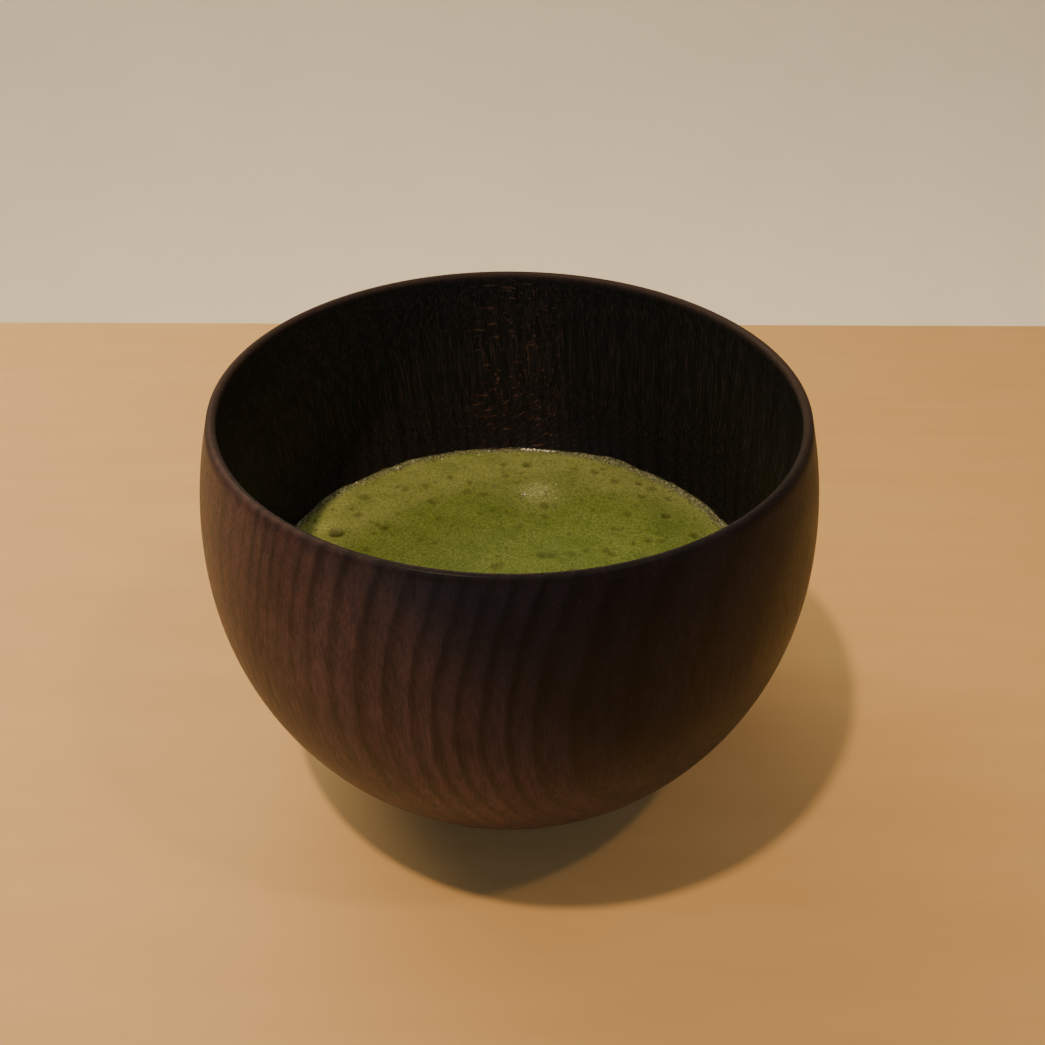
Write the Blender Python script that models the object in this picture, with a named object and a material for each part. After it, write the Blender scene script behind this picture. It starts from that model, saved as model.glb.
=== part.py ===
"""A turned wooden matcha bowl with its serving of whisked tea.

The bowl is one block of wood: a round belly, a thin rounded lip and a foot ring
left standing under a shallow recess. Inside lie the tea, the layer of froth
whisked onto it, a bead of fine bubbles held against the wall and one large bubble.

Metres, +Z up. The origin is the centre of the foot, on the table.
"""

import math

import bmesh
import bpy

# Driving dimensions of the bowl.
BELLY_RADIUS = 0.0590
BELLY_HEIGHT = 0.0570
BELLY_DEPTH = 0.0629
HEIGHT = 0.0860
RIM_RADIUS = 0.0544
LIP_THICKNESS = 0.0018
BELLY_WALL = 0.0026
FLOOR_HEIGHT = 0.0088

# The foot ring and the recess that it stands around.
FOOT_RADIUS = 0.0339
FOOT_BASE_RADIUS = 0.0334
FOOT_INNER_RADIUS = 0.0280
FOOT_EDGE = 0.0006
FOOT_COVE = 0.0010
RECESS_HEIGHT = 0.0035
RECESS_FILLET = 0.0012

# The serving: the froth's top, its thickness, and the gap that keeps pieces apart.
FROTH_LEVEL = 0.0395
FROTH_THICKNESS = 0.0032
FROTH_CHAMFER = 0.0015
GAP = 0.0003

# The bead of fine bubbles that runs around the froth at the wall.
BEADS = 72
BEAD_RADIUS = 0.00065
BEAD_NECK = 0.00048
BEAD_SIDES = 8

# The one large bubble standing on the froth near the wall.
LARGE_BUBBLE_AT = (-0.0392, 0.0176)
LARGE_BUBBLE_RADIUS = 0.0016
LARGE_BUBBLE_RISE = 0.0010
LARGE_BUBBLE_STEPS = 24

# How finely the turned pieces are cut.
STEPS = 64
BELLY_POINTS = 12
WALL_POINTS = 6
ARC_POINTS = 5

LIP_RADIUS = LIP_THICKNESS / 2
INNER_RADIUS = BELLY_RADIUS - BELLY_WALL
INNER_DEPTH = BELLY_HEIGHT - FLOOR_HEIGHT


def belly(radius, depth, angle):
    """A point of an ellipse hung below the belly: angle 0 is its widest point."""
    return radius * math.cos(angle), BELLY_HEIGHT - depth * math.sin(angle)


def belly_angle(depth, height):
    """The angle at which an ellipse of that depth reaches a height."""
    return math.asin((BELLY_HEIGHT - height) / depth)


def belly_radius(radius, depth, height):
    """The radius of that ellipse at a height below the belly."""
    return radius * math.cos(belly_angle(depth, height))


def spread(start, stop, count):
    """Evenly spaced numbers from start to stop, with both ends."""
    return [start + (stop - start) * i / (count - 1) for i in range(count)]


def wall_above(belly_at, rim_at, top, height):
    """The radius of a wall that leans in from the belly to the rim as a parabola."""
    share = (height - BELLY_HEIGHT) / (top - BELLY_HEIGHT)
    return belly_at - (belly_at - rim_at) * share**2


def arc(centre, radius, start, stop):
    """Points on a circle in the profile's plane, from one angle to another in degrees."""
    turns = [math.radians(a) for a in spread(start, stop, ARC_POINTS)]
    return [(centre[0] + radius * math.cos(a), centre[1] + radius * math.sin(a)) for a in turns]


def bowl_profile():
    """From the floor's centre up the inside, over the lip, down the belly and under the foot."""
    lip_height = HEIGHT - LIP_RADIUS
    lip_centre = RIM_RADIUS - LIP_RADIUS
    rim_inside = RIM_RADIUS - LIP_THICKNESS
    heights = spread(BELLY_HEIGHT, lip_height, WALL_POINTS)
    inside = [belly(INNER_RADIUS, INNER_DEPTH, a) for a in spread(math.pi / 2, 0, BELLY_POINTS)]
    inside += [(wall_above(INNER_RADIUS, rim_inside, lip_height, z), z) for z in heights[1:-1]]
    lip = arc((lip_centre, lip_height), LIP_RADIUS, 180, 0)
    outside = [(wall_above(BELLY_RADIUS, RIM_RADIUS, lip_height, z), z) for z in heights[-2:0:-1]]
    last = math.acos((FOOT_RADIUS + FOOT_COVE) / BELLY_RADIUS)
    outside += [belly(BELLY_RADIUS, BELLY_DEPTH, a) for a in spread(0, last, BELLY_POINTS)]
    cove = (FOOT_RADIUS + FOOT_COVE, outside[-1][1] - FOOT_COVE)
    foot = arc(cove, FOOT_COVE, 90, 180)[1:]
    foot += arc((FOOT_BASE_RADIUS - FOOT_EDGE, FOOT_EDGE), FOOT_EDGE, 0, -90)
    foot += arc((FOOT_INNER_RADIUS + FOOT_EDGE, FOOT_EDGE), FOOT_EDGE, -90, -180)
    ceiling = (FOOT_INNER_RADIUS - RECESS_FILLET, RECESS_HEIGHT - RECESS_FILLET)
    recess = arc(ceiling, RECESS_FILLET, 0, 90)
    return inside + lip + outside + foot + recess + [(0.0, RECESS_HEIGHT)]


def tea_profile():
    """From the centre of the tea's surface out to the wall and down to the floor."""
    top = FROTH_LEVEL - FROTH_THICKNESS - GAP
    radius = INNER_RADIUS - GAP
    depth = INNER_DEPTH - GAP
    first = belly_angle(depth, top)
    return [(0.0, top)] + [belly(radius, depth, a) for a in spread(first, math.pi / 2, BELLY_POINTS)]


def froth_edge(height):
    """The froth's radius at a height: a gap inside the wall."""
    return belly_radius(INNER_RADIUS, INNER_DEPTH, height) - GAP


def froth_profile():
    """A disc with a chamfered top edge, from the centre of its top to that of its base."""
    base = FROTH_LEVEL - FROTH_THICKNESS
    shoulder = FROTH_LEVEL - FROTH_CHAMFER
    top_edge = froth_edge(shoulder) - FROTH_CHAMFER
    middle = top_edge / 2
    return [
        (0.0, FROTH_LEVEL),
        (middle, FROTH_LEVEL),
        (top_edge, FROTH_LEVEL),
        (froth_edge(shoulder), shoulder),
        (froth_edge(base), base),
        (middle, base),
        (0.0, base),
    ]


def material(name, colour, roughness):
    """A Principled material with one colour and roughness."""
    made = bpy.data.materials.new(name)
    made.use_nodes = True
    shader = made.node_tree.nodes["Principled BSDF"]
    shader.inputs["Base Color"].default_value = (*colour, 1.0)
    shader.inputs["Roughness"].default_value = roughness
    shader.inputs["Metallic"].default_value = 0.0
    made.diffuse_color = (*colour, 1.0)
    return made


def add_object(name, mesh, finish):
    """Puts a mesh into the scene as one named piece."""
    mesh.materials.append(finish)
    piece = bpy.data.objects.new(name, mesh)
    bpy.context.scene.collection.objects.link(piece)
    return piece


def turned(name, profile, finish, steps=STEPS):
    """A piece turned about the vertical axis from its profile."""
    mesh = bpy.data.meshes.new(name)
    edges = [(i, i + 1) for i in range(len(profile) - 1)]
    mesh.from_pydata([(r, 0.0, z) for r, z in profile], edges, [])
    piece = add_object(name, mesh, finish)
    screw = piece.modifiers.new("turning", "SCREW")
    screw.axis = "Z"
    screw.angle = 2 * math.pi
    screw.steps = steps
    screw.render_steps = steps
    screw.use_merge_vertices = True
    screw.merge_threshold = 0.00001
    screw.use_smooth_shade = True
    return piece


def beaded_ring(name, finish):
    """A closed string of beads in the angle between the wall and the froth's chamfer."""
    across = froth_edge(FROTH_LEVEL) - BEAD_RADIUS
    rise = BEAD_RADIUS - FROTH_CHAMFER + math.sqrt(2) * (BEAD_RADIUS + GAP)
    shape = bmesh.new()
    rings = []
    for i in range(2 * BEADS):
        turn = math.pi * i / BEADS
        thickness = BEAD_RADIUS if i % 2 == 0 else BEAD_NECK
        ring = []
        for j in range(BEAD_SIDES):
            side = 2 * math.pi * j / BEAD_SIDES
            reach = across + thickness * math.cos(side)
            height = FROTH_LEVEL + rise + thickness * math.sin(side)
            ring.append(shape.verts.new((reach * math.cos(turn), reach * math.sin(turn), height)))
        rings.append(ring)
    for here, ahead in zip(rings, rings[1:] + rings[:1]):
        for j in range(BEAD_SIDES):
            k = (j + 1) % BEAD_SIDES
            shape.faces.new((here[j], ahead[j], ahead[k], here[k]))
    bmesh.ops.recalc_face_normals(shape, faces=shape.faces)
    mesh = bpy.data.meshes.new(name)
    shape.to_mesh(mesh)
    shape.free()
    mesh.shade_smooth()
    return add_object(name, mesh, finish)


def dome_profile():
    """A quarter ellipse from the dome's top down to its flat base, and back to the axis."""
    turns = [math.radians(a) for a in spread(90, 0, ARC_POINTS)]
    side = [(LARGE_BUBBLE_RADIUS * math.cos(a), LARGE_BUBBLE_RISE * math.sin(a)) for a in turns]
    return [(0.0, LARGE_BUBBLE_RISE)] + side[1:] + [(0.0, 0.0)]


def clear_scene():
    """Takes away whatever the scene holds."""
    for thing in list(bpy.data.objects):
        bpy.data.objects.remove(thing, do_unlink=True)


def main():
    """Makes every piece in its place."""
    clear_scene()
    turned("bowl_body", bowl_profile(), material("lacquered_wood", (0.060, 0.030, 0.014), 0.42))
    turned("tea", tea_profile(), material("green_tea", (0.070, 0.110, 0.010), 0.15))
    turned("froth", froth_profile(), material("tea_froth", (0.200, 0.240, 0.035), 0.55))
    beaded_ring("rim_bubbles", material("bubble_film", (0.300, 0.340, 0.110), 0.20))
    film = material("large_bubble_film", (0.140, 0.170, 0.040), 0.15)
    dome = turned("large_bubble", dome_profile(), film, LARGE_BUBBLE_STEPS)
    dome.location = (*LARGE_BUBBLE_AT, FROTH_LEVEL + GAP)


main()
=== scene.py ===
"""The looks of a turned wooden bowl of whisked green tea, made around its packed frame.

The frame stays as it is. The bowl's wood, the froth and its bubbles are made anew on the
same sizes, with grain, lacquer and foam that the frame's plain solids don't have.
Everything is in metres, +Z up, with the origin at the centre of the foot.
"""

import math

import bpy
import numpy as np
from bpy.props import FloatProperty, FloatVectorProperty, IntProperty, PointerProperty
from mathutils import Matrix, Vector


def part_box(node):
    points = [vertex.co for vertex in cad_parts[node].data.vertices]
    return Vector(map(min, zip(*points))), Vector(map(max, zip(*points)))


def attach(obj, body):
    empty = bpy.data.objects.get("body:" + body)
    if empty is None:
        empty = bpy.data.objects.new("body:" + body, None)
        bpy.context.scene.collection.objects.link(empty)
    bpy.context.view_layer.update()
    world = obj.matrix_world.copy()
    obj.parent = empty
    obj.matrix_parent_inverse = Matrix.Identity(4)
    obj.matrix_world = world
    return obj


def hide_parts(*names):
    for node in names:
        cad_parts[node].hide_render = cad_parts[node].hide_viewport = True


bl_info = {
    "name": "Turned Tea Bowl",
    "version": (1, 0, 0),
    "blender": (4, 5, 0),
    "location": "3D View > Sidebar > Tea Bowl",
    "description": "Makes a turned wooden bowl with its whisked tea, froth and bubbles",
    "category": "Object",
}

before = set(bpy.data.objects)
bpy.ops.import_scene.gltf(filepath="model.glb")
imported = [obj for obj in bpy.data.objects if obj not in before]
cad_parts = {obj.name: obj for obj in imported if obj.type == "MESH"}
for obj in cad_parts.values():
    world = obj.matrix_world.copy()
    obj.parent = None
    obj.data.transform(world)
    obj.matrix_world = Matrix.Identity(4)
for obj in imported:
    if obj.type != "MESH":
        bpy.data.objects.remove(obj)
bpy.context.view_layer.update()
MM = 0.001
BOWL_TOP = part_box("bowl_body")[1]
FROTH_LOW, FROTH_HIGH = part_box("froth")
LARGE_LOW, LARGE_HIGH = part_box("large_bubble")
# The froth's level, how far in from the wall it climbs, and the way its bubbles point.
FROTH_LEVEL = FROTH_HIGH.z - 0.2 * MM
CLIMB_REACH = 1.1 * MM
UPRIGHT = np.array([[0.0, 0.0, 1.0]])


# Sizes and colours that a user would change.


def length(name, description, default, lowest=0.0):
    """A length in metres."""
    return FloatProperty(
        name=name, description=description, default=default, min=lowest,
        unit="LENGTH", precision=5,
    )


def share(name, description, default):
    """A number from 0 to 1."""
    return FloatProperty(
        name=name, description=description, default=default, min=0.0, max=1.0, subtype="FACTOR"
    )


def whole(name, description, default, lowest=0):
    """A whole number."""
    return IntProperty(name=name, description=description, default=default, min=lowest)


def colour(name, description, default):
    """A linear colour."""
    return FloatVectorProperty(
        name=name, description=description, default=default, size=3,
        min=0.0, max=1.0, subtype="COLOR",
    )


def point(name, description, default):
    """A place or an arrow in metres."""
    return FloatVectorProperty(
        name=name, description=description, default=default, size=3, subtype="TRANSLATION"
    )


def power(name, description, default):
    """A lamp's power in watts."""
    return FloatProperty(
        name=name, description=description, default=default, min=0.0, unit="POWER"
    )


class BowlSizes(bpy.types.PropertyGroup):
    """The turned bowl's profile."""

    belly_radius: length("Belly radius", "Radius at the widest point", BOWL_TOP.x)
    height: length("Height", "From the table to the top of the lip", BOWL_TOP.z)
    belly_height: length("Belly height", "Height of the widest point", 0.057)
    belly_depth: length("Belly depth", "Half height of the ellipse below the belly", 0.0629)
    rim_radius: length("Rim radius", "Outside radius at the lip", 0.0544)
    lip: length("Lip", "Thickness of the rounded lip", 0.0018)
    wall: length("Wall", "Thickness of the wall at the belly", 0.0026)
    floor_height: length("Floor height", "Height of the inside floor", 0.0088)
    foot_radius: length("Foot radius", "Radius of the foot ring at its top", 0.0339)
    foot_base: length("Foot base", "Radius of the foot ring on the table", 0.0334)
    foot_inner: length("Foot inner", "Inside radius of the foot ring", 0.028)
    recess: length("Recess", "Height of the recess under the bowl", 0.0035)
    turning_step: length("Turning step", "Spacing of the gouge marks inside", 0.0016)
    turning_depth: length("Turning depth", "Depth of the gouge marks inside", 0.000012)


class WoodLook(bpy.types.PropertyGroup):
    """The wood's growth rings, figure and lacquer."""

    pith: point("Pith", "A point on the tree's axis", (-0.0779, 0.0451, 0.057))
    lean: point("Lean", "Direction of the tree's axis", (-0.082, -0.042, 1.0))
    ring: length("Ring spacing", "Mean width of a growth ring", 0.0031)
    light_band: colour("Light band", "Early wood under the lacquer", (0.0920, 0.0490, 0.0450))
    dark_band: colour("Dark band", "Late wood under the lacquer", (0.0240, 0.0150, 0.0155))
    inside: colour("Inside", "The inside's darker lacquer", (0.0300, 0.0255, 0.0300))
    # Lip colour: real wear of the lacquer, partly a painted highlight.
    lip_wear_and_highlight_colour: colour("Worn lip", "Lacquer thinned along the lip", (0.040, 0.023, 0.018))
    roughness: share("Roughness", "How dull the lacquer is", 0.46)
    coat: share("Coat", "How strong the lacquer's own shine is", 0.06)


class FrothLook(bpy.types.PropertyGroup):
    """The froth's shape and colours."""

    centre: colour("Centre", "Froth over the tea", (0.190, 0.243, 0.052))
    edge: colour("Edge", "Drier froth towards the wall", (0.296, 0.328, 0.106))
    pit: colour("Pits", "Open pits, where the tea shows", (0.050, 0.054, 0.004))
    fringe: colour("Fringe", "The greyish fringe of tiny bubbles at the wall", (0.09, 0.095, 0.055))
    # The heap's pale foam colour, partly a painted highlight.
    fine: colour("Fine foam", "The pale patch of the finest foam", (0.420, 0.440, 0.200))
    climb: length("Climb", "How far the froth climbs the wall", 0.0005)
    scallop: length("Scallop", "How unevenly its edge clings to the wall", 0.0006)
    grid: whole("Grid", "Points along the surface", 296, 40)
    pits: whole("Pits", "Number of small pits", 330)


class BubbleLook(bpy.types.PropertyGroup):
    """The bubbles at the wall and on the froth."""

    at_wall: whole("At the wall", "Bubbles in the band", 4200, 8)
    on_froth: whole("On the froth", "Bubbles on the froth", 170, 8)
    film: colour("Film", "Tint of a bubble's film", (0.40, 0.41, 0.24))
    film_alpha: share("Film opacity", "How much the film covers", 0.36)
    tea: colour("Tea", "The tea under the froth", (0.045, 0.065, 0.006))


class StageLook(bpy.types.PropertyGroup):
    """The table, the backdrop, the lamps and the camera."""

    table: colour("Table", "Pale table top", (0.70, 0.41, 0.155))
    backdrop: colour("Backdrop", "Plain backdrop", (0.72, 0.64, 0.50))
    table_edge: length("Table edge", "Distance from the bowl to the table's back edge", 0.207)
    key_power: power("Key lamp", "The overhead lamp", 2.9)
    key_at: point("Key lamp place", "Where the overhead lamp hangs", (-0.156, -0.150, 0.670))
    second_power: power("Second lamp", "The weaker lamp on the right", 0.75)
    second_at: point("Second lamp place", "Where the weaker lamp hangs", (0.302, -0.158, 0.668))
    screen_power: power("Screen", "The wide soft light behind", 9.0)
    screen_at: point("Screen place", "The middle of the soft light behind", (-0.36, 0.56, 0.56))
    window_power: power("Window", "The weak cool light in front, to the left", 4.0)
    window_at: point("Window place", "The middle of the cool light", (-0.50, -1.10, 0.45))
    backdrop_power: power("Backdrop lamp", "The light under the table's edge", 4.0)
    backdrop_lamp_at: point("Backdrop lamp place", "Where that light stands", (0.0, 0.30, -0.30))
    camera_at: point("Camera place", "Where the camera stands", (0.0, -0.16162, 0.17621))
    lens: FloatProperty(name="Lens", description="Focal length in mm", default=34.45, min=1.0)


GROUPS = {
    "tea_bowl_sizes": BowlSizes,
    "tea_bowl_wood": WoodLook,
    "tea_bowl_froth": FrothLook,
    "tea_bowl_bubbles": BubbleLook,
    "tea_bowl_stage": StageLook,
}


# Meshes.


def add_mesh(name, points, faces):
    """A smooth mesh object at the origin, from an array of points and lists of corner numbers."""
    mesh = bpy.data.meshes.new(name)
    mesh.from_pydata(points.tolist(), [], faces)
    mesh.shade_smooth()
    mesh.update()
    piece = bpy.data.objects.new(name, mesh)
    bpy.context.scene.collection.objects.link(piece)
    return piece


def add_attribute(piece, name, values):
    """A number at every point of the mesh, for its material to read."""
    attribute = piece.data.attributes.new(name, "FLOAT", "POINT")
    attribute.data.foreach_set("value", np.asarray(values, np.float32).ravel())


def dress(piece, material, slot, *nodes):
    """Gives a piece its finish, makes it ride on the root and hides the frame's parts that it
    stands for. Its slot is not used.
    """
    piece.data.materials.append(material)
    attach(piece, "root")
    if nodes:
        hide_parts(*nodes)
    return piece


def turned_faces(rows, columns):
    """Quads around a turned surface whose first and last points are single poles."""
    ring = np.arange(columns)
    after = (ring + 1) % columns
    row = 1 + columns * np.arange(rows - 1)[:, None]
    quads = np.stack([row + ring, row + columns + ring, row + columns + after, row + after], 2)
    last = 1 + columns * (rows - 1)
    end = last + columns
    start_fan = np.stack([np.zeros(columns, int), 1 + ring, 1 + after], 1)
    end_fan = np.stack([np.full(columns, end), last + after, last + ring], 1)
    return start_fan.tolist() + quads.reshape(-1, 4).tolist() + end_fan.tolist()


def smooth_step(values, low, high):
    """0 below low, 1 above high, and an S-shaped rise between."""
    t = np.clip((values - low) / (high - low), 0, 1)
    return t * t * (3 - 2 * t)


def ripples(x, y, shortest, longest, count, seed):
    """A gentle uneven height from -1 to 1: the mean of plane waves in every direction,
    with their lengths spread evenly by ratio between the shortest and the longest."""
    draw = np.random.default_rng(seed)
    total = np.zeros_like(x)
    for turn, size, phase in draw.random((count, 3)):
        wave = 2 * math.pi / (shortest * (longest / shortest) ** size)
        along = x * math.cos(math.pi * turn * 2) + y * math.sin(math.pi * turn * 2)
        total += np.sin(along * wave + 2 * math.pi * phase)
    return total / math.sqrt(count)


# The bowl.


def wall_radius(sizes, height):
    """The inside wall's radius at a height: an ellipse up to the belly, then a parabola that
    leans in to the lip."""
    belly = sizes.belly_radius - sizes.wall
    depth = sizes.belly_height - sizes.floor_height
    down = np.clip((sizes.belly_height - height) / depth, 0, 1)
    top = sizes.height - sizes.lip / 2
    up = np.clip((height - sizes.belly_height) / (top - sizes.belly_height), 0, 1)
    lean = belly - (sizes.rim_radius - sizes.lip)
    return belly * np.sqrt(1 - down**2) - lean * up**2


def bowl_profile(sizes):
    """The bowl's outline from the inside floor's centre to the recess's centre, as columns of
    radius, height and a mark: 1 on the inside wall and 0 elsewhere. Below the belly, inside
    and outside, it is a quarter ellipse; above, a parabola of the height; the lip is half a
    circle, and the foot's corners are quarter circles."""
    round_edge, cove, fillet = 0.6 * MM, 1.0 * MM, 1.2 * MM
    lip = sizes.lip / 2
    top = sizes.height - lip
    inner = sizes.belly_radius - sizes.wall
    inner_depth = sizes.belly_height - sizes.floor_height

    def arc(x, z, radius, start, stop, count):
        turn = np.radians(np.linspace(start, stop, count))
        return x + radius * np.cos(turn), z + radius * np.sin(turn)

    turn = np.linspace(math.pi / 2, 0, 64)[1:]
    rise = np.linspace(sizes.belly_height, top, 30)[1:-1]
    up = ((rise - sizes.belly_height) / (top - sizes.belly_height)) ** 2
    foot_turn = np.linspace(0, math.acos((sizes.foot_radius + cove) / sizes.belly_radius), 56)
    outside_z = sizes.belly_height - sizes.belly_depth * np.sin(foot_turn)
    foot_x, foot_z = arc(sizes.foot_radius + cove, outside_z[-1] - cove, cove, 90, 180, 6)
    base, edge = sizes.foot_base - round_edge, sizes.foot_inner + round_edge
    parts = [
        (inner * np.cos(turn), sizes.belly_height - inner_depth * np.sin(turn), 1),
        (inner - (inner - sizes.rim_radius + sizes.lip) * up, rise, 1),
        (*arc(sizes.rim_radius - lip, top, lip, 180, 100, 8), 1),
        (*arc(sizes.rim_radius - lip, top, lip, 88, 0, 8), 0),
        ((sizes.belly_radius - (sizes.belly_radius - sizes.rim_radius) * up)[::-1], rise[::-1], 0),
        (sizes.belly_radius * np.cos(foot_turn), outside_z, 0),
        (foot_x[1:], foot_z[1:], 0),
        (*arc(base, round_edge, round_edge, 0, -90, 5), 0),
        (*arc(edge, round_edge, round_edge, -90, -180, 5), 0),
        (*arc(sizes.foot_inner - fillet, sizes.recess - fillet, fillet, 0, 90, 6), 0),
        (np.linspace(sizes.foot_inner - fillet, 0, 12)[1:-1], np.full(10, sizes.recess), 0),
    ]
    radius = np.concatenate([p[0] for p in parts])
    height = np.concatenate([p[1] for p in parts])
    return radius, height, np.concatenate([np.full(len(p[0]), float(p[2])) for p in parts])


def turned_bowl(sizes):
    """The bowl: its profile turned through a full circle, with shallow gouge marks along the
    inside wall, each a wave along the wall's own length that fades near the lip. Its points
    carry two numbers for the wood: how far they are inside, and how far on the lip."""
    columns = 440
    radius, height, inside = bowl_profile(sizes)
    along = np.concatenate([[0], np.cumsum(np.hypot(np.diff(radius), np.diff(height)))])
    slope_r, slope_z = np.gradient(radius, along), np.gradient(height, along)
    size = np.hypot(slope_r, slope_z)
    turn = np.linspace(0, 2 * math.pi, columns, endpoint=False)
    below_lip = smooth_step(sizes.height - height, 0.002, 0.006) * inside
    wave = 2 * math.pi / sizes.turning_step
    marks = np.sin(along[:, None] * wave + 1.5 * np.sin(3 * turn) + 0.8 * np.sin(7 * turn + 2))
    push = -np.abs(marks) * (below_lip * sizes.turning_depth)[:, None]
    r = radius[:, None] + push * (-slope_z / size)[:, None]
    z = height[:, None] + push * (slope_r / size)[:, None]
    ring = np.stack([r * np.cos(turn), r * np.sin(turn), z], 2).reshape(-1, 3)
    points = np.concatenate([[[0, 0, sizes.floor_height]], ring, [[0, 0, sizes.recess]]])
    piece = add_mesh("turned_bowl", points, turned_faces(len(radius), columns))
    lip = smooth_step(height, sizes.height - 0.0022, sizes.height - 0.0005)
    for name, row, first in (("inside", inside, 1.0), ("lip", lip, 0.0)):
        add_attribute(piece, name, [first, *np.repeat(row, columns), 0.0])
    return piece


# The froth and its bubbles.


def disc_grid(count):
    """A square grid folded onto a disc of radius 1: each square ring of the grid becomes a
    circle, so the cells stay nearly even. Returns x, y and faces with their tops up."""
    side = np.linspace(-1, 1, count)
    u, v = np.meshgrid(side, side, indexing="ij")
    wide = np.abs(u) > np.abs(v)
    far = np.where(wide, u, v)
    safe = np.where(far == 0, 1, far)
    turn = np.where(wide, math.pi / 4 * v / safe, math.pi / 2 - math.pi / 4 * u / safe)
    corner = (count * np.arange(count - 1)[:, None] + np.arange(count - 1)).ravel()
    faces = np.stack([corner, corner + count, corner + count + 1, corner + 1], 1)
    return (far * np.cos(turn)).ravel(), (far * np.sin(turn)).ravel(), faces


def grid_edge(count):
    """The grid's outer points in order, counterclockwise from above."""
    number = np.arange(count * count).reshape(count, count)
    return np.concatenate([number[:-1, 0], number[-1, :-1], number[:0:-1, -1], number[0, :0:-1]])


def cling(look, turn):
    """How far above the level the froth's edge clings to the wall, by angle around it."""
    draw = np.random.default_rng(11)
    total = np.zeros_like(turn)
    for waves in (2, 5, 9, 13, 18, 26, 37, 52):
        total += np.sin(waves * turn + 2 * math.pi * draw.random()) / waves**0.65
    return look.climb + look.scallop * total


def pit_list(look):
    """Pits listed one by one where they show most, then seeded ones: x, y, radius and depth in
    metres.
    """
    named = np.array([
        (-39.2, 17.6, 1.7, 0.9), (-28.5, 19.5, 1.2, 0.35), (4.0, 45.0, 1.1, 0.4),
        (36.0, 24.0, 1.2, 0.4), (31.0, 37.0, 0.9, 0.3), (7.0, 9.5, 1.2, 0.3),
        (13.5, 4.0, 1.3, 0.3), (-1.0, 40.5, 0.8, 0.35), (41.5, 16.5, 1.0, 0.3),
    ]) * MM
    draw = np.random.default_rng(5)
    reach, turn, size = draw.random((3, look.pits))
    spot = 50 * MM * np.sqrt(reach)
    radius = (0.35 + 0.85 * size**2.5) * MM
    others = np.stack([spot * np.cos(2 * math.pi * turn), spot * np.sin(2 * math.pi * turn),
                       radius, 0.16 * radius], 1)
    return np.concatenate([named, others])


def froth_height(look, x, y, rim_share, clinging):
    """The froth's top: its level, plus long gentle ripples, plus a soft heap of the finest
    foam, plus the rise towards the wall, less a rounded dip for each pit. Returns the height,
    how much of the heap is there and how dark a pit makes it."""
    froth_radius = 52 * MM
    heap_x, heap_y, heap_size = 6.5 * MM, 33 * MM, 4.4 * MM
    heap = np.exp(-((x - heap_x) ** 2 + (y - heap_y) ** 2) / heap_size**2)
    climb = np.exp(-(1 - rim_share) * froth_radius / CLIMB_REACH)
    rough = 0.10 * ripples(x, y, 5 * MM, 24 * MM, 18, 21) + 0.035 * ripples(
        x, y, 1.2 * MM, 3 * MM, 24, 22)
    dip, dark = np.zeros_like(x), np.zeros_like(x)
    for pit_x, pit_y, radius, depth in pit_list(look):
        near = ((x - pit_x) ** 2 + (y - pit_y) ** 2) / radius**2
        close = near < 6
        dip[close] += depth * np.exp(-(near[close] ** 1.5))
        shade = np.exp(-(near[close] ** 2)) * min(1.0, 0.45 + 0.55 * depth / (0.7 * MM))
        dark[close] = np.maximum(dark[close], shade)
    height = FROTH_LEVEL + 0.7 * MM * heap + clinging * climb + (MM * rough - dip) * (1 - climb)
    return height, heap, dark * (1 - climb)


def froth_body(sizes, look):
    """The froth: its top on a disc grid that runs out to the wall, a side that follows the
    wall down, and a flat underside closed at its middle."""
    x, y, faces = disc_grid(look.grid)
    rim_share = np.hypot(x, y)
    turn = np.arctan2(y, x)
    clinging = cling(look, turn)
    reach = wall_radius(sizes, FROTH_LEVEL + clinging) - 0.01 * MM
    x, y = x * reach, y * reach
    height, heap, dark = froth_height(look, x, y, rim_share, clinging)
    top = np.stack([x, y, height], 1)
    edge = grid_edge(look.grid)
    low = FROTH_LOW.z + 0.2 * MM
    bottom_radius = wall_radius(sizes, low) - 0.05 * MM
    around = turn[edge]
    bottom = np.stack([bottom_radius * np.cos(around), bottom_radius * np.sin(around),
                       np.full(len(edge), low)], 1)
    points = np.concatenate([top, bottom, [[0, 0, low]]])
    first, after = len(top) + np.arange(len(edge)), len(top) + np.roll(np.arange(len(edge)), -1)
    side = np.stack([edge, first, after, np.roll(edge, -1)], 1)
    fan = np.stack([np.full(len(edge), len(points) - 1), after, first], 1)
    piece = add_mesh("whisked_froth", points, faces.tolist() + side.tolist() + fan.tolist())
    spare = np.zeros(len(edge) + 1)
    add_attribute(piece, "heap", np.concatenate([heap, spare]))
    add_attribute(piece, "pit", np.concatenate([dark, spare]))
    add_attribute(piece, "rim_share", np.concatenate([rim_share, spare + 1]))
    return piece


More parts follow.
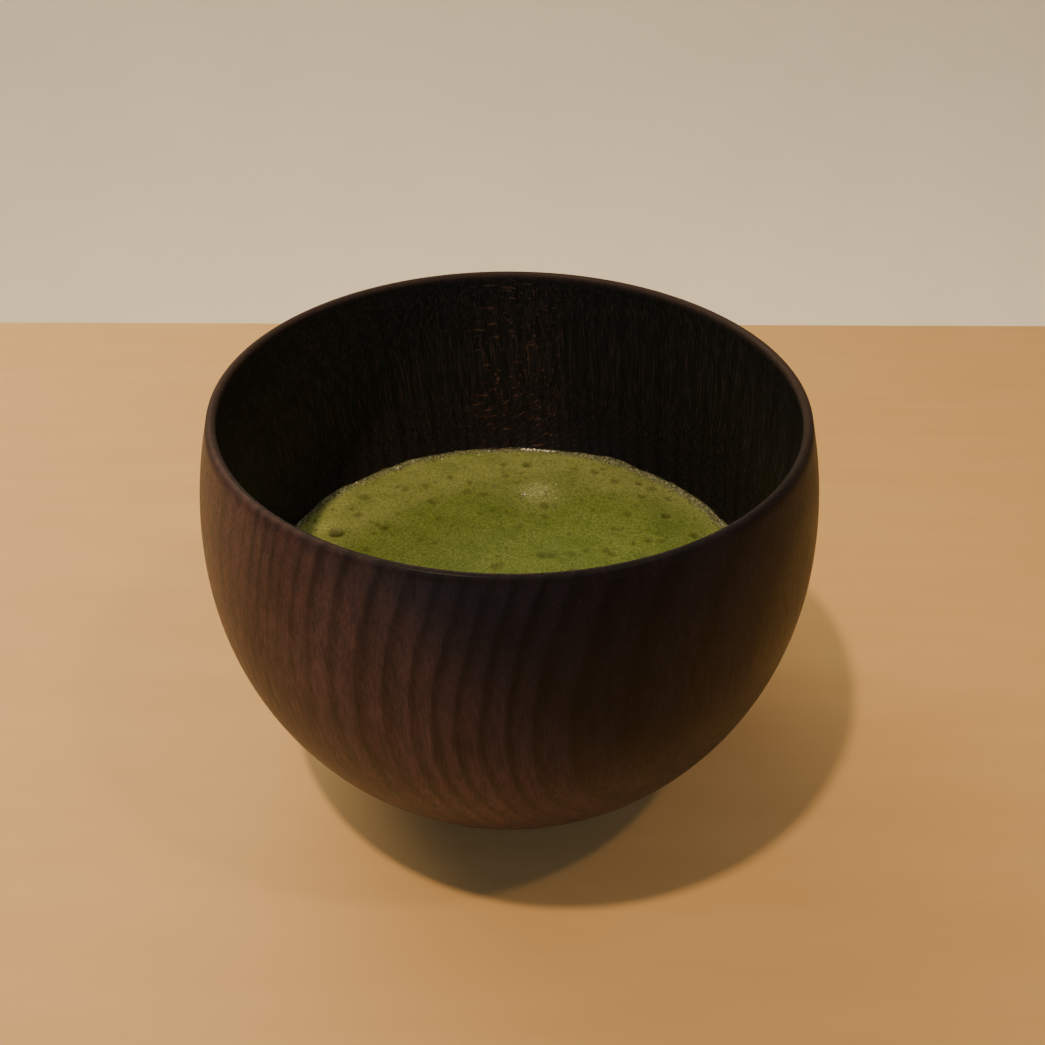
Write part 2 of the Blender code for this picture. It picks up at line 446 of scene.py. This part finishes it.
def domes(name, centres, normals, radii, rises, sides=8, rings=3):
    """Many low closed domes. Each is half an ellipsoid, rings of points that shrink as the
    cosine while they rise as the sine, standing on a flat base square to its own normal."""
    turn = 2 * math.pi * np.arange(sides) / sides
    rise = (math.pi / 2) * np.arange(rings) / rings
    ring = np.stack([np.outer(np.cos(rise), np.cos(turn)), np.outer(np.cos(rise), np.sin(turn)),
                     np.outer(np.sin(rise), np.ones(sides))], 2).reshape(-1, 3)
    shape = np.concatenate([ring, [[0, 0, 1]]])
    normals = normals / np.linalg.norm(normals, axis=1, keepdims=True)
    spare = np.where(np.abs(normals[:, 2:]) < 0.9, [[0, 0, 1.0]], [[1.0, 0, 0]])
    across = np.cross(spare, normals)
    across /= np.linalg.norm(across, axis=1, keepdims=True)
    other = np.cross(normals, across)
    points = (
        centres[:, None] + radii[:, None, None] * (
            shape[None, :, :1] * across[:, None] + shape[None, :, 1:2] * other[:, None])
        + rises[:, None, None] * shape[None, :, 2:] * normals[:, None]
    )
    number = np.arange(sides)
    after = (number + 1) % sides
    row = sides * np.arange(rings - 1)[:, None]
    quads = np.stack([row + number, row + after, row + sides + after, row + sides + number], 2)
    last = sides * (rings - 1)
    tips = np.stack([last + number, last + after, np.full(sides, sides * rings)], 1)
    start = len(shape) * np.arange(len(centres))[:, None, None]
    faces = (start + quads.reshape(1, -1, 4)).reshape(-1, 4).tolist()
    faces += (start + tips[None]).reshape(-1, 3).tolist()
    faces += (start[:, 0] + number[::-1][None]).tolist()
    return add_mesh(name, points.reshape(-1, 3), faces)


def band_bubbles(sizes, look, froth_look):
    """The band of fine bubbles where the froth meets the wall: most hug the wall, they grow
    sparser inwards, and small ones are the most common."""
    draw = np.random.default_rng(3)
    step, inwards, size, lift = draw.random((4, look.at_wall))
    turn = 2 * math.pi * step
    radii = (0.07 + 0.30 * size**5) * MM
    away = radii + 1.9 * MM * inwards**2.4
    clinging = cling(froth_look, turn)
    climb = np.exp(-away / CLIMB_REACH)
    height = FROTH_LEVEL + clinging * climb + 0.35 * MM * lift * (away < 0.5 * MM)
    reach = wall_radius(sizes, height) - away
    centres = np.stack([reach * np.cos(turn), reach * np.sin(turn), height - 0.3 * radii], 1)
    lean = 0.8 * climb
    normals = np.stack([-np.cos(turn) * lean, -np.sin(turn) * lean, np.ones_like(turn)], 1)
    return domes("wall_bubbles", centres, normals, radii, radii * 1.1, sides=6, rings=2)


def froth_bubbles(look, froth_look):
    """Larger bubbles standing on the froth: two fifths of them in a ring near the wall, a
    fifth on and around the heap, and the rest spread evenly."""
    draw = np.random.default_rng(8)
    number = np.arange(look.on_froth)
    reach, turn, size = draw.random((3, look.on_froth))
    spread = np.where(number % 2 == 0, 46 + 5.5 * reach, 50 * np.sqrt(reach)) * MM
    x, y = spread * np.cos(2 * math.pi * turn), spread * np.sin(2 * math.pi * turn)
    heap = number % 5 == 1
    x = np.where(heap, 5 * MM + (reach - 0.5) * 22 * MM, x)
    y = np.where(heap, 32 * MM + (turn - 0.5) * 14 * MM, y)
    radii = (0.16 + 0.42 * size**3) * MM
    share_out = np.hypot(x, y) / (52.5 * MM)
    height, _, _ = froth_height(froth_look, x, y, share_out, np.zeros_like(x))
    centres = np.stack([x, y, height - 0.25 * radii], 1)
    return domes("froth_bubbles", centres, UPRIGHT, radii, radii * 0.95, sides=10, rings=3)


def foam_and_glint_flecks(sizes, froth_look):
    """Specks of the whitest, finest foam, which also stand in as painted glints: of every five, two
    in a short row against the wall at the back, two along the band and one on the heap."""
    draw = np.random.default_rng(14)
    count = 80
    first, second, size = draw.random((3, count))
    kind = np.arange(count) % 5
    at_back, on_heap = kind < 2, kind == 4
    turn = np.where(at_back, 1.355 + 0.175 * first, 0.3 + 2.5 * first)
    away = np.where(at_back, 0.35 + 0.5 * second, 0.3 + 2.2 * second) * MM
    reach = wall_radius(sizes, FROTH_LEVEL + cling(froth_look, turn)) - away
    x, y = reach * np.cos(turn), reach * np.sin(turn)
    x = np.where(on_heap, (2 + 9 * first) * MM, x)
    y = np.where(on_heap, (29 + 8 * second) * MM, y)
    share_out = np.hypot(x, y) / wall_radius(sizes, FROTH_LEVEL)
    height, _, _ = froth_height(froth_look, x, y, share_out, cling(froth_look, turn))
    radii = np.where(at_back, 0.19 + 0.24 * size**2, 0.08 + 0.22 * size**3) * MM
    centres = np.stack([x, y, height], 1)
    return domes("foam_and_glint_flecks", centres, UPRIGHT, radii, radii, sides=8, rings=3)


# Materials.


class Finish:
    """One material's node tree. Each method adds a node and returns the socket that it makes."""

    def __init__(self, name):
        self.material = bpy.data.materials.new(name)
        self.material.use_nodes = True
        self.tree = self.material.node_tree
        self.tree.nodes.clear()

    def add(self, kind, inputs, output=0, **settings):
        """Any node, with its settings and its inputs by name or number."""
        node = self.tree.nodes.new(kind)
        for name, value in settings.items():
            setattr(node, name, value)
        for name, value in inputs.items():
            socket = node.inputs[name]
            if isinstance(value, bpy.types.NodeSocket):
                self.tree.links.new(value, socket)
            else:
                socket.default_value = value
        return node.outputs[output]

    def place(self, **mapping):
        """The piece's own coordinates, moved and scaled by a Mapping node where asked."""
        place = self.add("ShaderNodeTexCoord", {}, "Object")
        return self.mapping(place, **mapping) if mapping else place

    def mapping(self, vector, location=(0, 0, 0), rotation=(0, 0, 0), scale=(1, 1, 1)):
        """A vector scaled, then turned, then moved."""
        inputs = {"Vector": vector, "Location": location, "Rotation": rotation, "Scale": scale}
        return self.add("ShaderNodeMapping", inputs)

    def attribute(self, name):
        """A number that the mesh carries at its points."""
        return self.add("ShaderNodeAttribute", {}, "Fac", attribute_name=name)

    def math(self, operation, *values):
        """Arithmetic on one or two numbers."""
        return self.add("ShaderNodeMath", dict(enumerate(values)), operation=operation)

    def noise(self, vector, scale=1.0, detail=2.0, roughness=0.5):
        """Soft noise around 0.5."""
        inputs = {"Vector": vector, "Scale": scale, "Detail": detail, "Roughness": roughness}
        return self.add("ShaderNodeTexNoise", inputs)

    def cells(self, vector, scale=1.0):
        """The distance to the middle of the nearest of many scattered cells."""
        inputs = {"Vector": vector, "Scale": scale, "Randomness": 1.0}
        return self.add("ShaderNodeTexVoronoi", inputs, "Distance", feature="F1")

    def span(self, value, low, high, to_low=0.0, to_high=1.0):
        """Value spread from low..high onto to_low..to_high, held at both ends."""
        inputs = {0: value, 1: low, 2: high, 3: to_low, 4: to_high}
        return self.add("ShaderNodeMapRange", inputs, interpolation_type="SMOOTHSTEP")

    def ramp(self, value, *stops):
        """A grey that follows value through stops of (place, grey)."""
        made = self.add("ShaderNodeValToRGB", {"Fac": value})
        elements = made.node.color_ramp.elements
        while len(elements) < len(stops):
            elements.new(0.5)
        for element, (at, grey) in zip(elements, stops):
            element.position = at
            element.color = (grey, grey, grey, 1)
        return made

    def blend(self, how_much, first, second, kind="MIX"):
        """Two colours mixed."""
        first, second = (c if isinstance(c, bpy.types.NodeSocket) else (*c, 1)
                         for c in (first, second))
        inputs = {0: how_much, 6: first, 7: second}
        return self.add("ShaderNodeMix", inputs, 2, data_type="RGBA", blend_type=kind)

    def bump(self, height, strength, distance):
        """A relief that only the light sees."""
        inputs = {"Height": height, "Strength": strength, "Distance": distance}
        return self.add("ShaderNodeBump", inputs)

    def shade(self, **inputs):
        """The shader and the output, by the shader's own socket names with _ for a space."""
        named = {name.replace("_", " "): value for name, value in inputs.items()}
        output = self.tree.nodes.new("ShaderNodeOutputMaterial")
        self.tree.links.new(self.add("ShaderNodeBsdfPrincipled", named), output.inputs["Surface"])
        return self.material


def lacquered_wood(look):
    """Ring-porous wood under a dark satin lacquer. The rings are cylinders around the tree's
    leaning axis; each has a sharp dark start that fades outwards. Fibres, streaks and pores run
    along the axis, and rays are thin plates that run out from it. Painted shade darkens the
    outside towards the upper right. The inside is darker, with painted shade towards its right
    and low down by the froth, and a painted highlight down the middle of the wall, where its rays
    are brightened. The lip's lacquer shows real wear and a painted highlight that fades towards
    the front. Lengths are in millimetres."""
    n = Finish("lacquered_wood")
    lean = Vector(look.lean).rotation_difference(Vector((0, 0, 1)))
    middle = lean @ (Vector(look.pith) / MM)
    tree = n.place(location=-middle, rotation=lean.to_euler(), scale=(1 / MM,) * 3)
    x, y, z = (n.add("ShaderNodeSeparateXYZ", {"Vector": tree}, i) for i in range(3))
    wide = n.noise(n.mapping(tree, scale=(0.05, 0.05, 0.016)), detail=1.0)
    jagged = n.noise(n.mapping(tree, scale=(0.9, 0.9, 0.22)), detail=3.0, roughness=0.6)
    out = n.math("SQRT", n.math("ADD", n.math("MULTIPLY", x, x), n.math("MULTIPLY", y, y)))
    out = n.math("ADD", out, n.math("MULTIPLY", n.math("SUBTRACT", wide, 0.5), 2.4))
    out = n.math("ADD", out, n.math("MULTIPLY", n.math("SUBTRACT", jagged, 0.5), 0.8))
    # The rings widen and narrow by turns, over some ten rings.
    swing_start, swing_length, first_ring = 126.0, 30.0, 0.84
    swing = n.math("MULTIPLY", n.math("SUBTRACT", out, swing_start), 2 * math.pi / swing_length)
    swing = n.math("MULTIPLY", n.math("SINE", swing), 0.5)
    phase = n.math("ADD", n.math("DIVIDE", out, look.ring / MM), swing)
    phase = n.math("ADD", phase, first_ring)
    ring = n.math("FLOOR", phase)
    across = n.math("FRACT", phase)
    late = n.ramp(across, (0.0, 1.0), (0.15, 0.90), (0.31, 0.28), (0.48, 0.0), (0.82, 0.0),
                  (1.0, 1.0))
    each = n.add("ShaderNodeTexWhiteNoise", {"W": ring}, 0, noise_dimensions="1D")
    dark = n.math("MULTIPLY", late, n.span(each, 0.0, 1.0, 0.70, 1.0))

    fibre = n.noise(n.mapping(tree, scale=(3.2, 3.2, 0.10)), detail=3.0, roughness=0.65)
    pores = n.noise(n.mapping(tree, scale=(5.5, 5.5, 0.45)), detail=1.0)
    pores = n.math("MULTIPLY", n.span(pores, 0.60, 0.70), n.span(across, 0.25, 0.6, 1.0, 0.25))
    streak = n.noise(n.mapping(tree, scale=(0.55, 0.55, 0.13)), detail=2.0, roughness=0.6)
    patch = n.noise(n.mapping(tree, scale=(0.10, 0.10, 0.035)), detail=2.0)
    turn = n.math("MULTIPLY", n.math("ARCTAN2", y, x), 120.0)
    plates = n.add("ShaderNodeCombineXYZ", {0: n.math("MULTIPLY", out, 0.22),
                                            1: n.math("MULTIPLY", turn, 3.4),
                                            2: n.math("MULTIPLY", z, 1.15)})
    rays = n.span(n.noise(plates, detail=2.0, roughness=0.55), 0.60, 0.72)

    own = n.place(scale=(1 / MM,) * 3)
    right, behind, up = (n.add("ShaderNodeSeparateXYZ", {"Vector": own}, i) for i in range(3))
    faded = n.math("MULTIPLY", dark, n.span(right, -46.0, -6.0, 0.45, 1.0))
    wood = n.blend(faded, look.light_band, look.dark_band)
    wood = n.blend(n.span(patch, 0.35, 0.65), wood, (0.74, 0.72, 0.72), "MULTIPLY")
    # Painted shade: the outside is darkened towards the upper right, and more softly towards the
    # right, where less light falls.
    painted_shade_upper_right = n.math("ADD", right, up)
    wood = n.blend(n.span(painted_shade_upper_right, 42.0, 78.0), wood, (0.165, 0.25, 0.33), "MULTIPLY")
    painted_shade_right = n.math("ADD", right, n.math("MULTIPLY", up, 0.26))
    wood = n.blend(n.span(painted_shade_right, 1.0, 19.0), wood, (0.64, 0.64, 0.83), "MULTIPLY")
    wood = n.blend(n.span(streak, 0.50, 0.64, 0.0, 0.7), wood, (1.40, 1.18, 1.10), "MULTIPLY")
    wood = n.blend(n.span(streak, 0.36, 0.48, 0.6, 0.0), wood, (0.62, 0.66, 0.68), "MULTIPLY")
    wood = n.blend(n.span(fibre, 0.30, 0.75, 0.55, 0.0), wood, (0.30, 0.26, 0.24), "MULTIPLY")
    wood = n.blend(n.math("MULTIPLY", rays, 0.12), wood, (0.075, 0.034, 0.020))
    wood = n.blend(n.math("MULTIPLY", pores, 0.75), wood, (0.10, 0.08, 0.08), "MULTIPLY")

    # The inside: the same fibres under a darker lacquer.
    inner = n.blend(n.span(fibre, 0.32, 0.62, 0.9, 0.0), look.inside, (0.20, 0.22, 0.24),
                    "MULTIPLY")
    inner = n.blend(n.span(fibre, 0.56, 0.70, 0.0, 0.9), inner, (3.6, 2.0, 1.5), "MULTIPLY")
    # Painted shade: the inside is darkened towards the right and low down near the froth.
    inner = n.blend(n.span(right, -45.0, 50.0), inner, (0.54, 0.58, 0.56), "MULTIPLY")
    inner = n.blend(n.span(up, 40.0, 68.0, 1.0, 0.0), inner, (0.60, 0.64, 0.64), "MULTIPLY")
    # Painted highlight: a band down the middle of the inside wall, where the rays are brightened
    # and the lacquer lightened.
    painted_highlight_band = n.math("ABSOLUTE", n.math("SUBTRACT", right, 2.0))
    painted_highlight_band = n.span(painted_highlight_band, 5.0, 16.0, 0.75, 0.08)
    inner = n.blend(n.math("MULTIPLY", rays, painted_highlight_band), inner, (0.140, 0.072, 0.050))
    inner = n.blend(n.math("MULTIPLY", painted_highlight_band, 0.5), inner, (1.7, 1.35, 1.2), "MULTIPLY")
    inner = n.blend(n.math("MULTIPLY", dark, 0.6), inner, (0.45, 0.42, 0.42), "MULTIPLY")
    wood = n.blend(n.attribute("inside"), wood, inner)
    # Real wear along the lip, partly a painted highlight: strongest at the back and sides, fading
    # out towards the front.
    lip_wear_and_highlight = n.math("MULTIPLY", n.attribute("lip"), n.span(fibre, 0.35, 0.6, 0.55, 0.95))
    lip_wear_and_highlight = n.math("MULTIPLY", lip_wear_and_highlight, n.span(behind, -45.0, 5.0, 0.1, 1.0))
    wood = n.blend(lip_wear_and_highlight, wood, look.lip_wear_and_highlight_colour)

    rough = n.math("ADD", n.math("MULTIPLY", dark, -0.06), n.span(fibre, 0.3, 0.7, 0.06, -0.04))
    rough = n.math("ADD", rough, look.roughness)
    rough = n.math("ADD", rough, n.math("MULTIPLY", n.attribute("lip"), 0.45))
    relief = n.math("ADD", n.math("MULTIPLY", fibre, 0.5), n.math("MULTIPLY", rays, -0.3))
    relief = n.math("SUBTRACT", relief, n.math("MULTIPLY", pores, 0.8))
    relief = n.math("ADD", relief, n.math("MULTIPLY", late, 0.5))
    return n.shade(
        Base_Color=wood, Roughness=rough, IOR=1.5, Specular_IOR_Level=0.16,
        Coat_Weight=look.coat, Coat_Roughness=0.3,
        Normal=n.bump(relief, 0.5, 0.06 * MM),
    )


def whisked_froth(look):
    """Whisked froth: fine bubbles packed as cells of two sizes, a drier yellower ring near the
    wall, olive mottling, a greyish fringe, dark pits and the pale heap of the finest foam, whose
    paleness is partly a painted highlight. Painted light widens the ring at the back left and
    makes the far left paler, and painted shade darkens the froth towards the front."""
    n = Finish("whisked_froth")
    flat = n.place(scale=(1 / MM,) * 3)
    fine = n.cells(flat, scale=1.9)
    coarse = n.cells(flat, scale=0.75)
    mottle = n.noise(n.mapping(flat, scale=(0.14, 0.20, 0.16)), detail=4.0, roughness=0.65)
    drift = n.noise(n.mapping(flat, scale=(0.045, 0.07, 0.05)), detail=1.0)
    grain = n.noise(flat, scale=1.8, detail=3.0, roughness=0.8)
    share_out = n.math("ADD", n.attribute("rim_share"),
                       n.math("MULTIPLY", n.math("SUBTRACT", drift, 0.5), 0.34))
    share_out = n.math("ADD", share_out, n.math("MULTIPLY", n.math("SUBTRACT", mottle, 0.5), 0.24))
    right, behind = (n.add("ShaderNodeSeparateXYZ", {"Vector": flat}, i) for i in range(2))
    # Painted light: the paler ring is widened towards the back left, where the froth is lit more.
    share_out = n.math("ADD", share_out, n.math("MULTIPLY", right, -0.0025))
    share_out = n.math("ADD", share_out, n.math("MULTIPLY", behind, 0.0030))
    froth = n.blend(n.span(share_out, 0.70, 0.92), look.centre, look.edge)
    froth = n.blend(n.span(mottle, 0.45, 0.60, 0.0, 0.40), froth, (0.60, 0.72, 0.45), "MULTIPLY")
    froth = n.blend(n.span(grain, 0.38, 0.56, 0.85, 0.0), froth, (0.50, 0.58, 0.38), "MULTIPLY")
    froth = n.blend(n.span(grain, 0.56, 0.70, 0.0, 0.5), froth, (1.45, 1.38, 1.7), "MULTIPLY")
    froth = n.blend(n.span(fine, 0.12, 0.45, 0.45, 0.0), froth, (0.52, 0.58, 0.38), "MULTIPLY")
    froth = n.blend(n.span(coarse, 0.04, 0.24, 0.40, 0.0), froth, (0.50, 0.60, 0.30), "MULTIPLY")
    # Painted light: paler at the far left, lifting the shadow that the rim casts there.
    froth = n.blend(n.span(right, -49.0, -36.0, 1.0, 0.0), froth, (1.55, 1.52, 1.50), "MULTIPLY")
    # Painted shade: the froth is darker towards the front.
    froth = n.blend(n.span(behind, -30.0, 34.0, 1.0, 0.0), froth, (0.74, 0.75, 0.72), "MULTIPLY")
    fringe = n.blend(n.span(grain, 0.46, 0.62), look.fringe, (0.36, 0.37, 0.25))
    froth = n.blend(n.span(n.attribute("rim_share"), 0.955, 0.985, 0.0, 0.85), froth, fringe)
    # The heap's pale finest foam, partly a painted highlight.
    froth = n.blend(n.math("MULTIPLY", n.attribute("heap"), n.span(grain, 0.38, 0.60, 0.25, 1.0)),
                    froth, look.fine)
    froth = n.blend(n.math("MULTIPLY", n.attribute("pit"), 0.9), froth, look.pit)
    relief = n.math("ADD", n.math("MULTIPLY", fine, 0.6), n.math("MULTIPLY", coarse, 0.8))
    return n.shade(
        Base_Color=froth, Roughness=n.span(n.attribute("pit"), 0.2, 0.8, 0.62, 0.45), IOR=1.34,
        Subsurface_Weight=0.25, Subsurface_Radius=(1.0, 0.9, 0.25), Subsurface_Scale=0.8 * MM,
        Normal=n.bump(relief, 0.55, 0.16 * MM),
    )


def bubble_film(look, name, cover):
    """A thin clear film with a tint of tea and a sharp shine, cloudier where noise says so."""
    n = Finish(name)
    cloud = n.noise(n.place(), scale=900.0, detail=1.0)
    film = n.blend(n.span(cloud, 0.35, 0.65), look.film, tuple(0.45 * c for c in look.film))
    return n.shade(
        Base_Color=film, Roughness=n.span(cloud, 0.3, 0.7, 0.06, 0.16), IOR=1.34,
        Specular_IOR_Level=0.5, Alpha=cover,
    )


def white_foam_and_glints():
    """The finest foam: almost white, with a faint tint of tea in its hollows; it also stands in for
    painted glints.
    """
    n = Finish("white_foam_and_glints")
    cloud = n.noise(n.place(), scale=1500.0, detail=1.0)
    foam = n.blend(n.span(cloud, 0.35, 0.65), (0.90, 0.90, 0.82), (0.70, 0.70, 0.55))
    return n.shade(Base_Color=foam, Roughness=n.span(cloud, 0.3, 0.7, 0.25, 0.4), IOR=1.34)


def green_tea(look):
    """Clouded green tea with a wet surface."""
    n = Finish("green_tea")
    cloud = n.noise(n.place(), scale=140.0, detail=3.0)
    tea = n.blend(n.span(cloud, 0.3, 0.7), look.tea, tuple(0.6 * c for c in look.tea))
    return n.shade(Base_Color=tea, Roughness=n.span(cloud, 0.3, 0.7, 0.05, 0.12), IOR=1.34)


def plain_surface(name, base, roughness, fleck):
    """A plain matt surface with a barely seen mottle."""
    n = Finish(name)
    mottle = n.noise(n.place(scale=(14, 90, 14)), detail=4.0, roughness=0.6)
    shaded = n.blend(n.span(mottle, 0.3, 0.7, 0.0, fleck), base, (0.80, 0.72, 0.62), "MULTIPLY")
    return n.shade(Base_Color=shaded, Roughness=roughness, IOR=1.45)


# The stage.


def slab(name, low, high, edge):
    """A table top with its long edges rounded: a box whose corners a Bevel modifier rounds."""
    x, y, z = (np.array([a, b]) for a, b in zip(low, high))
    points = np.array([(i, j, k) for k in z for j in y for i in x])
    faces = [(0, 2, 3, 1), (4, 5, 7, 6), (0, 1, 5, 4), (1, 3, 7, 5), (3, 2, 6, 7), (2, 0, 4, 6)]
    piece = add_mesh(name, points, faces)
    piece.data.shade_flat()
    bevel = piece.modifiers.new("edge", "BEVEL")
    bevel.width, bevel.segments = edge, 3
    return piece


def sweep(name, distance, width, low, high, bend):
    """A backdrop: a sheet that stands at a distance and bends forward at its foot through a
    quarter circle."""
    turn = np.linspace(0, math.pi / 2, 12)
    y = np.concatenate([[distance - 4 * bend], distance - bend + bend * np.sin(turn), [distance]])
    z = np.concatenate([[low], low + bend - bend * np.cos(turn), [high]])
    x = np.array([-width, width])
    points = np.array([(i, j, k) for j, k in zip(y, z) for i in x])
    first = 2 * np.arange(len(y) - 1)
    faces = np.stack([first, first + 1, first + 3, first + 2], 1).tolist()
    return add_mesh(name, points, faces)


def room_light(tree):
    """The room's own dim light: it grows from the front, where nothing is lit, to the back."""
    arrow = tree.nodes.new("ShaderNodeTexCoord").outputs["Generated"]
    parts = tree.nodes.new("ShaderNodeSeparateXYZ")
    spread = tree.nodes.new("ShaderNodeMapRange")
    spread.inputs["From Min"].default_value, spread.inputs["From Max"].default_value = -0.9, 0.9
    spread.inputs["To Min"].default_value, spread.inputs["To Max"].default_value = 0.09, 0.30
    background = tree.nodes["Background"]
    background.inputs["Color"].default_value = (0.88, 0.97, 1.0, 1)
    tree.links.new(arrow, parts.inputs["Vector"])
    tree.links.new(parts.outputs["Y"], spread.inputs["Value"])
    tree.links.new(spread.outputs["Result"], background.inputs["Strength"])


def lamp(name, shape, size, watts, tint, at, target, height=None):
    """An area light that faces its target and that the camera doesn't see."""
    data = bpy.data.lights.new(name, "AREA")
    data.shape, data.size, data.energy, data.color = shape, size, watts, tint
    if height is not None:
        data.size_y = height
    light = bpy.data.objects.new(name, data)
    light.location = at
    light.rotation_euler = (Vector(target) - Vector(at)).to_track_quat("-Z", "Y").to_euler()
    light.visible_camera = False
    bpy.context.scene.collection.objects.link(light)
    return light


# Operators: one for each piece or group of like pieces, and one for the stage.


class TEABOWL_OT_bowl(bpy.types.Operator):
    """Turn the wooden bowl"""

    bl_idname = "teabowl.bowl"
    bl_label = "Turned bowl"

    def execute(self, context):
        piece = turned_bowl(context.scene.tea_bowl_sizes)
        wood = lacquered_wood(context.scene.tea_bowl_wood)
        dress(piece, wood, "lacquered_wood", "bowl_body")
        return {"FINISHED"}


class TEABOWL_OT_tea(bpy.types.Operator):
    """Give the tea its liquid look"""

    bl_idname = "teabowl.tea"
    bl_label = "Tea"

    def execute(self, context):
        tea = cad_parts["tea"]
        tea.data.materials.clear()
        tea.data.materials.append(green_tea(context.scene.tea_bowl_bubbles))
        return {"FINISHED"}


class TEABOWL_OT_froth(bpy.types.Operator):
    """Whisk the froth"""

    bl_idname = "teabowl.froth"
    bl_label = "Froth"

    def execute(self, context):
        scene = context.scene
        piece = froth_body(scene.tea_bowl_sizes, scene.tea_bowl_froth)
        dress(piece, whisked_froth(scene.tea_bowl_froth), "tea_froth", "froth")
        return {"FINISHED"}


class TEABOWL_OT_bubbles(bpy.types.Operator):
    """Set the bubbles along the wall, on the froth and the one large bubble"""

    bl_idname = "teabowl.bubbles"
    bl_label = "Bubbles"

    def execute(self, context):
        scene = context.scene
        look, froth = scene.tea_bowl_bubbles, scene.tea_bowl_froth
        film = bubble_film(look, "bubble_film", look.film_alpha)
        clear = bubble_film(look, "clear_bubble_film", look.film_alpha / 4)
        band = band_bubbles(scene.tea_bowl_sizes, look, froth)
        dress(band, film, "bubble_film", "rim_bubbles")
        dress(froth_bubbles(look, froth), film, "bubble_film")
        # White foam flecks, which also stand in as painted glints.
        dress(foam_and_glint_flecks(scene.tea_bowl_sizes, froth), white_foam_and_glints(), "tea_froth")
        middle = (LARGE_LOW + LARGE_HIGH) / 2
        large = domes(
            "large_bubble_film", np.array([[middle.x, middle.y, LARGE_LOW.z - 0.5 * MM]]),
            UPRIGHT, np.array([(LARGE_HIGH.x - LARGE_LOW.x) / 2]),
            np.array([LARGE_HIGH.z - LARGE_LOW.z]), sides=48, rings=14)
        dress(large, clear, "bubble_film", "large_bubble")
        return {"FINISHED"}


class TEABOWL_OT_stage(bpy.types.Operator):
    """Set the table, the backdrop, the lamps and the camera"""

    bl_idname = "teabowl.stage"
    bl_label = "Stage"

    def execute(self, context):
        look = context.scene.tea_bowl_stage
        table = slab("table", (-1.3, -1.2, -0.03), (1.3, look.table_edge, 0.0), 0.0015)
        table.data.materials.append(plain_surface("pale_table", look.table, 0.55, 0.25))
        backdrop = sweep("backdrop", 0.62, 1.6, -0.45, 1.2, 0.2)
        backdrop.data.materials.append(plain_surface("backdrop", look.backdrop, 0.8, 0.1))
        lamp("key_lamp", "DISK", 0.030, look.key_power, (1.0, 0.74, 0.42),
             look.key_at, (0, 0, 0.04))
        lamp("second_lamp", "DISK", 0.035, look.second_power, (1.0, 0.74, 0.44),
             look.second_at, (0, 0, 0.04))
        lamp("screen_light", "RECTANGLE", 1.0, look.screen_power, (1.0, 0.90, 0.62),
             look.screen_at, (-0.06, 0, 0.02), 0.55)
        lamp("window_light", "RECTANGLE", 1.2, look.window_power, (0.55, 0.72, 1.0),
             look.window_at, (0, 0, 0.03), 0.7)
        lamp("backdrop_light", "RECTANGLE", 1.6, look.backdrop_power, (1.0, 0.86, 0.66),
             look.backdrop_lamp_at, (0, 0.62, -0.08), 0.15)
        world = bpy.data.worlds.new("room")
        world.use_nodes = True
        room_light(world.node_tree)
        context.scene.world = world
        camera = bpy.data.objects.new("camera", bpy.data.cameras.new("camera"))
        camera.data.lens, camera.data.sensor_width = look.lens, 36.0
        camera.data.clip_start, camera.data.clip_end = 0.005, 10.0
        pan, tilt, roll = 0.0150, 0.6428, 0.0101
        turned = Matrix.Rotation(-pan, 4, "Z") @ Matrix.Rotation(math.pi / 2 - tilt, 4, "X")
        turned = turned @ Matrix.Rotation(roll, 4, "Z")
        camera.matrix_world = Matrix.Translation(Vector(look.camera_at)) @ turned
        context.scene.collection.objects.link(camera)
        context.scene.camera = camera
        return {"FINISHED"}


class TEABOWL_PT_panel(bpy.types.Panel):
    """The tea bowl's pieces, in the order that they are made"""

    bl_idname = "TEABOWL_PT_panel"
    bl_label = "Tea Bowl"
    bl_space_type = "VIEW_3D"
    bl_region_type = "UI"
    bl_category = "Tea Bowl"

    def draw(self, context):
        for operator in OPERATORS:
            self.layout.operator(operator.bl_idname)
        for name, group in GROUPS.items():
            box = self.layout.box()
            box.label(text=group.__doc__)
            for prop in group.__annotations__:
                box.prop(getattr(context.scene, name), prop)


OPERATORS = (
    TEABOWL_OT_bowl, TEABOWL_OT_tea, TEABOWL_OT_froth, TEABOWL_OT_bubbles, TEABOWL_OT_stage,
)
CLASSES = (*GROUPS.values(), *OPERATORS, TEABOWL_PT_panel)


def register():
    for made in CLASSES:
        bpy.utils.register_class(made)
    for name, group in GROUPS.items():
        setattr(bpy.types.Scene, name, PointerProperty(type=group))


def unregister():
    for name in GROUPS:
        delattr(bpy.types.Scene, name)
    for made in reversed(CLASSES):
        bpy.utils.unregister_class(made)


def main():
    """Registers the add-on and makes every piece in order."""
    register()
    bpy.ops.teabowl.bowl()
    bpy.ops.teabowl.tea()
    bpy.ops.teabowl.froth()
    bpy.ops.teabowl.bubbles()
    bpy.ops.teabowl.stage()


if __name__ == "__main__":
    main()
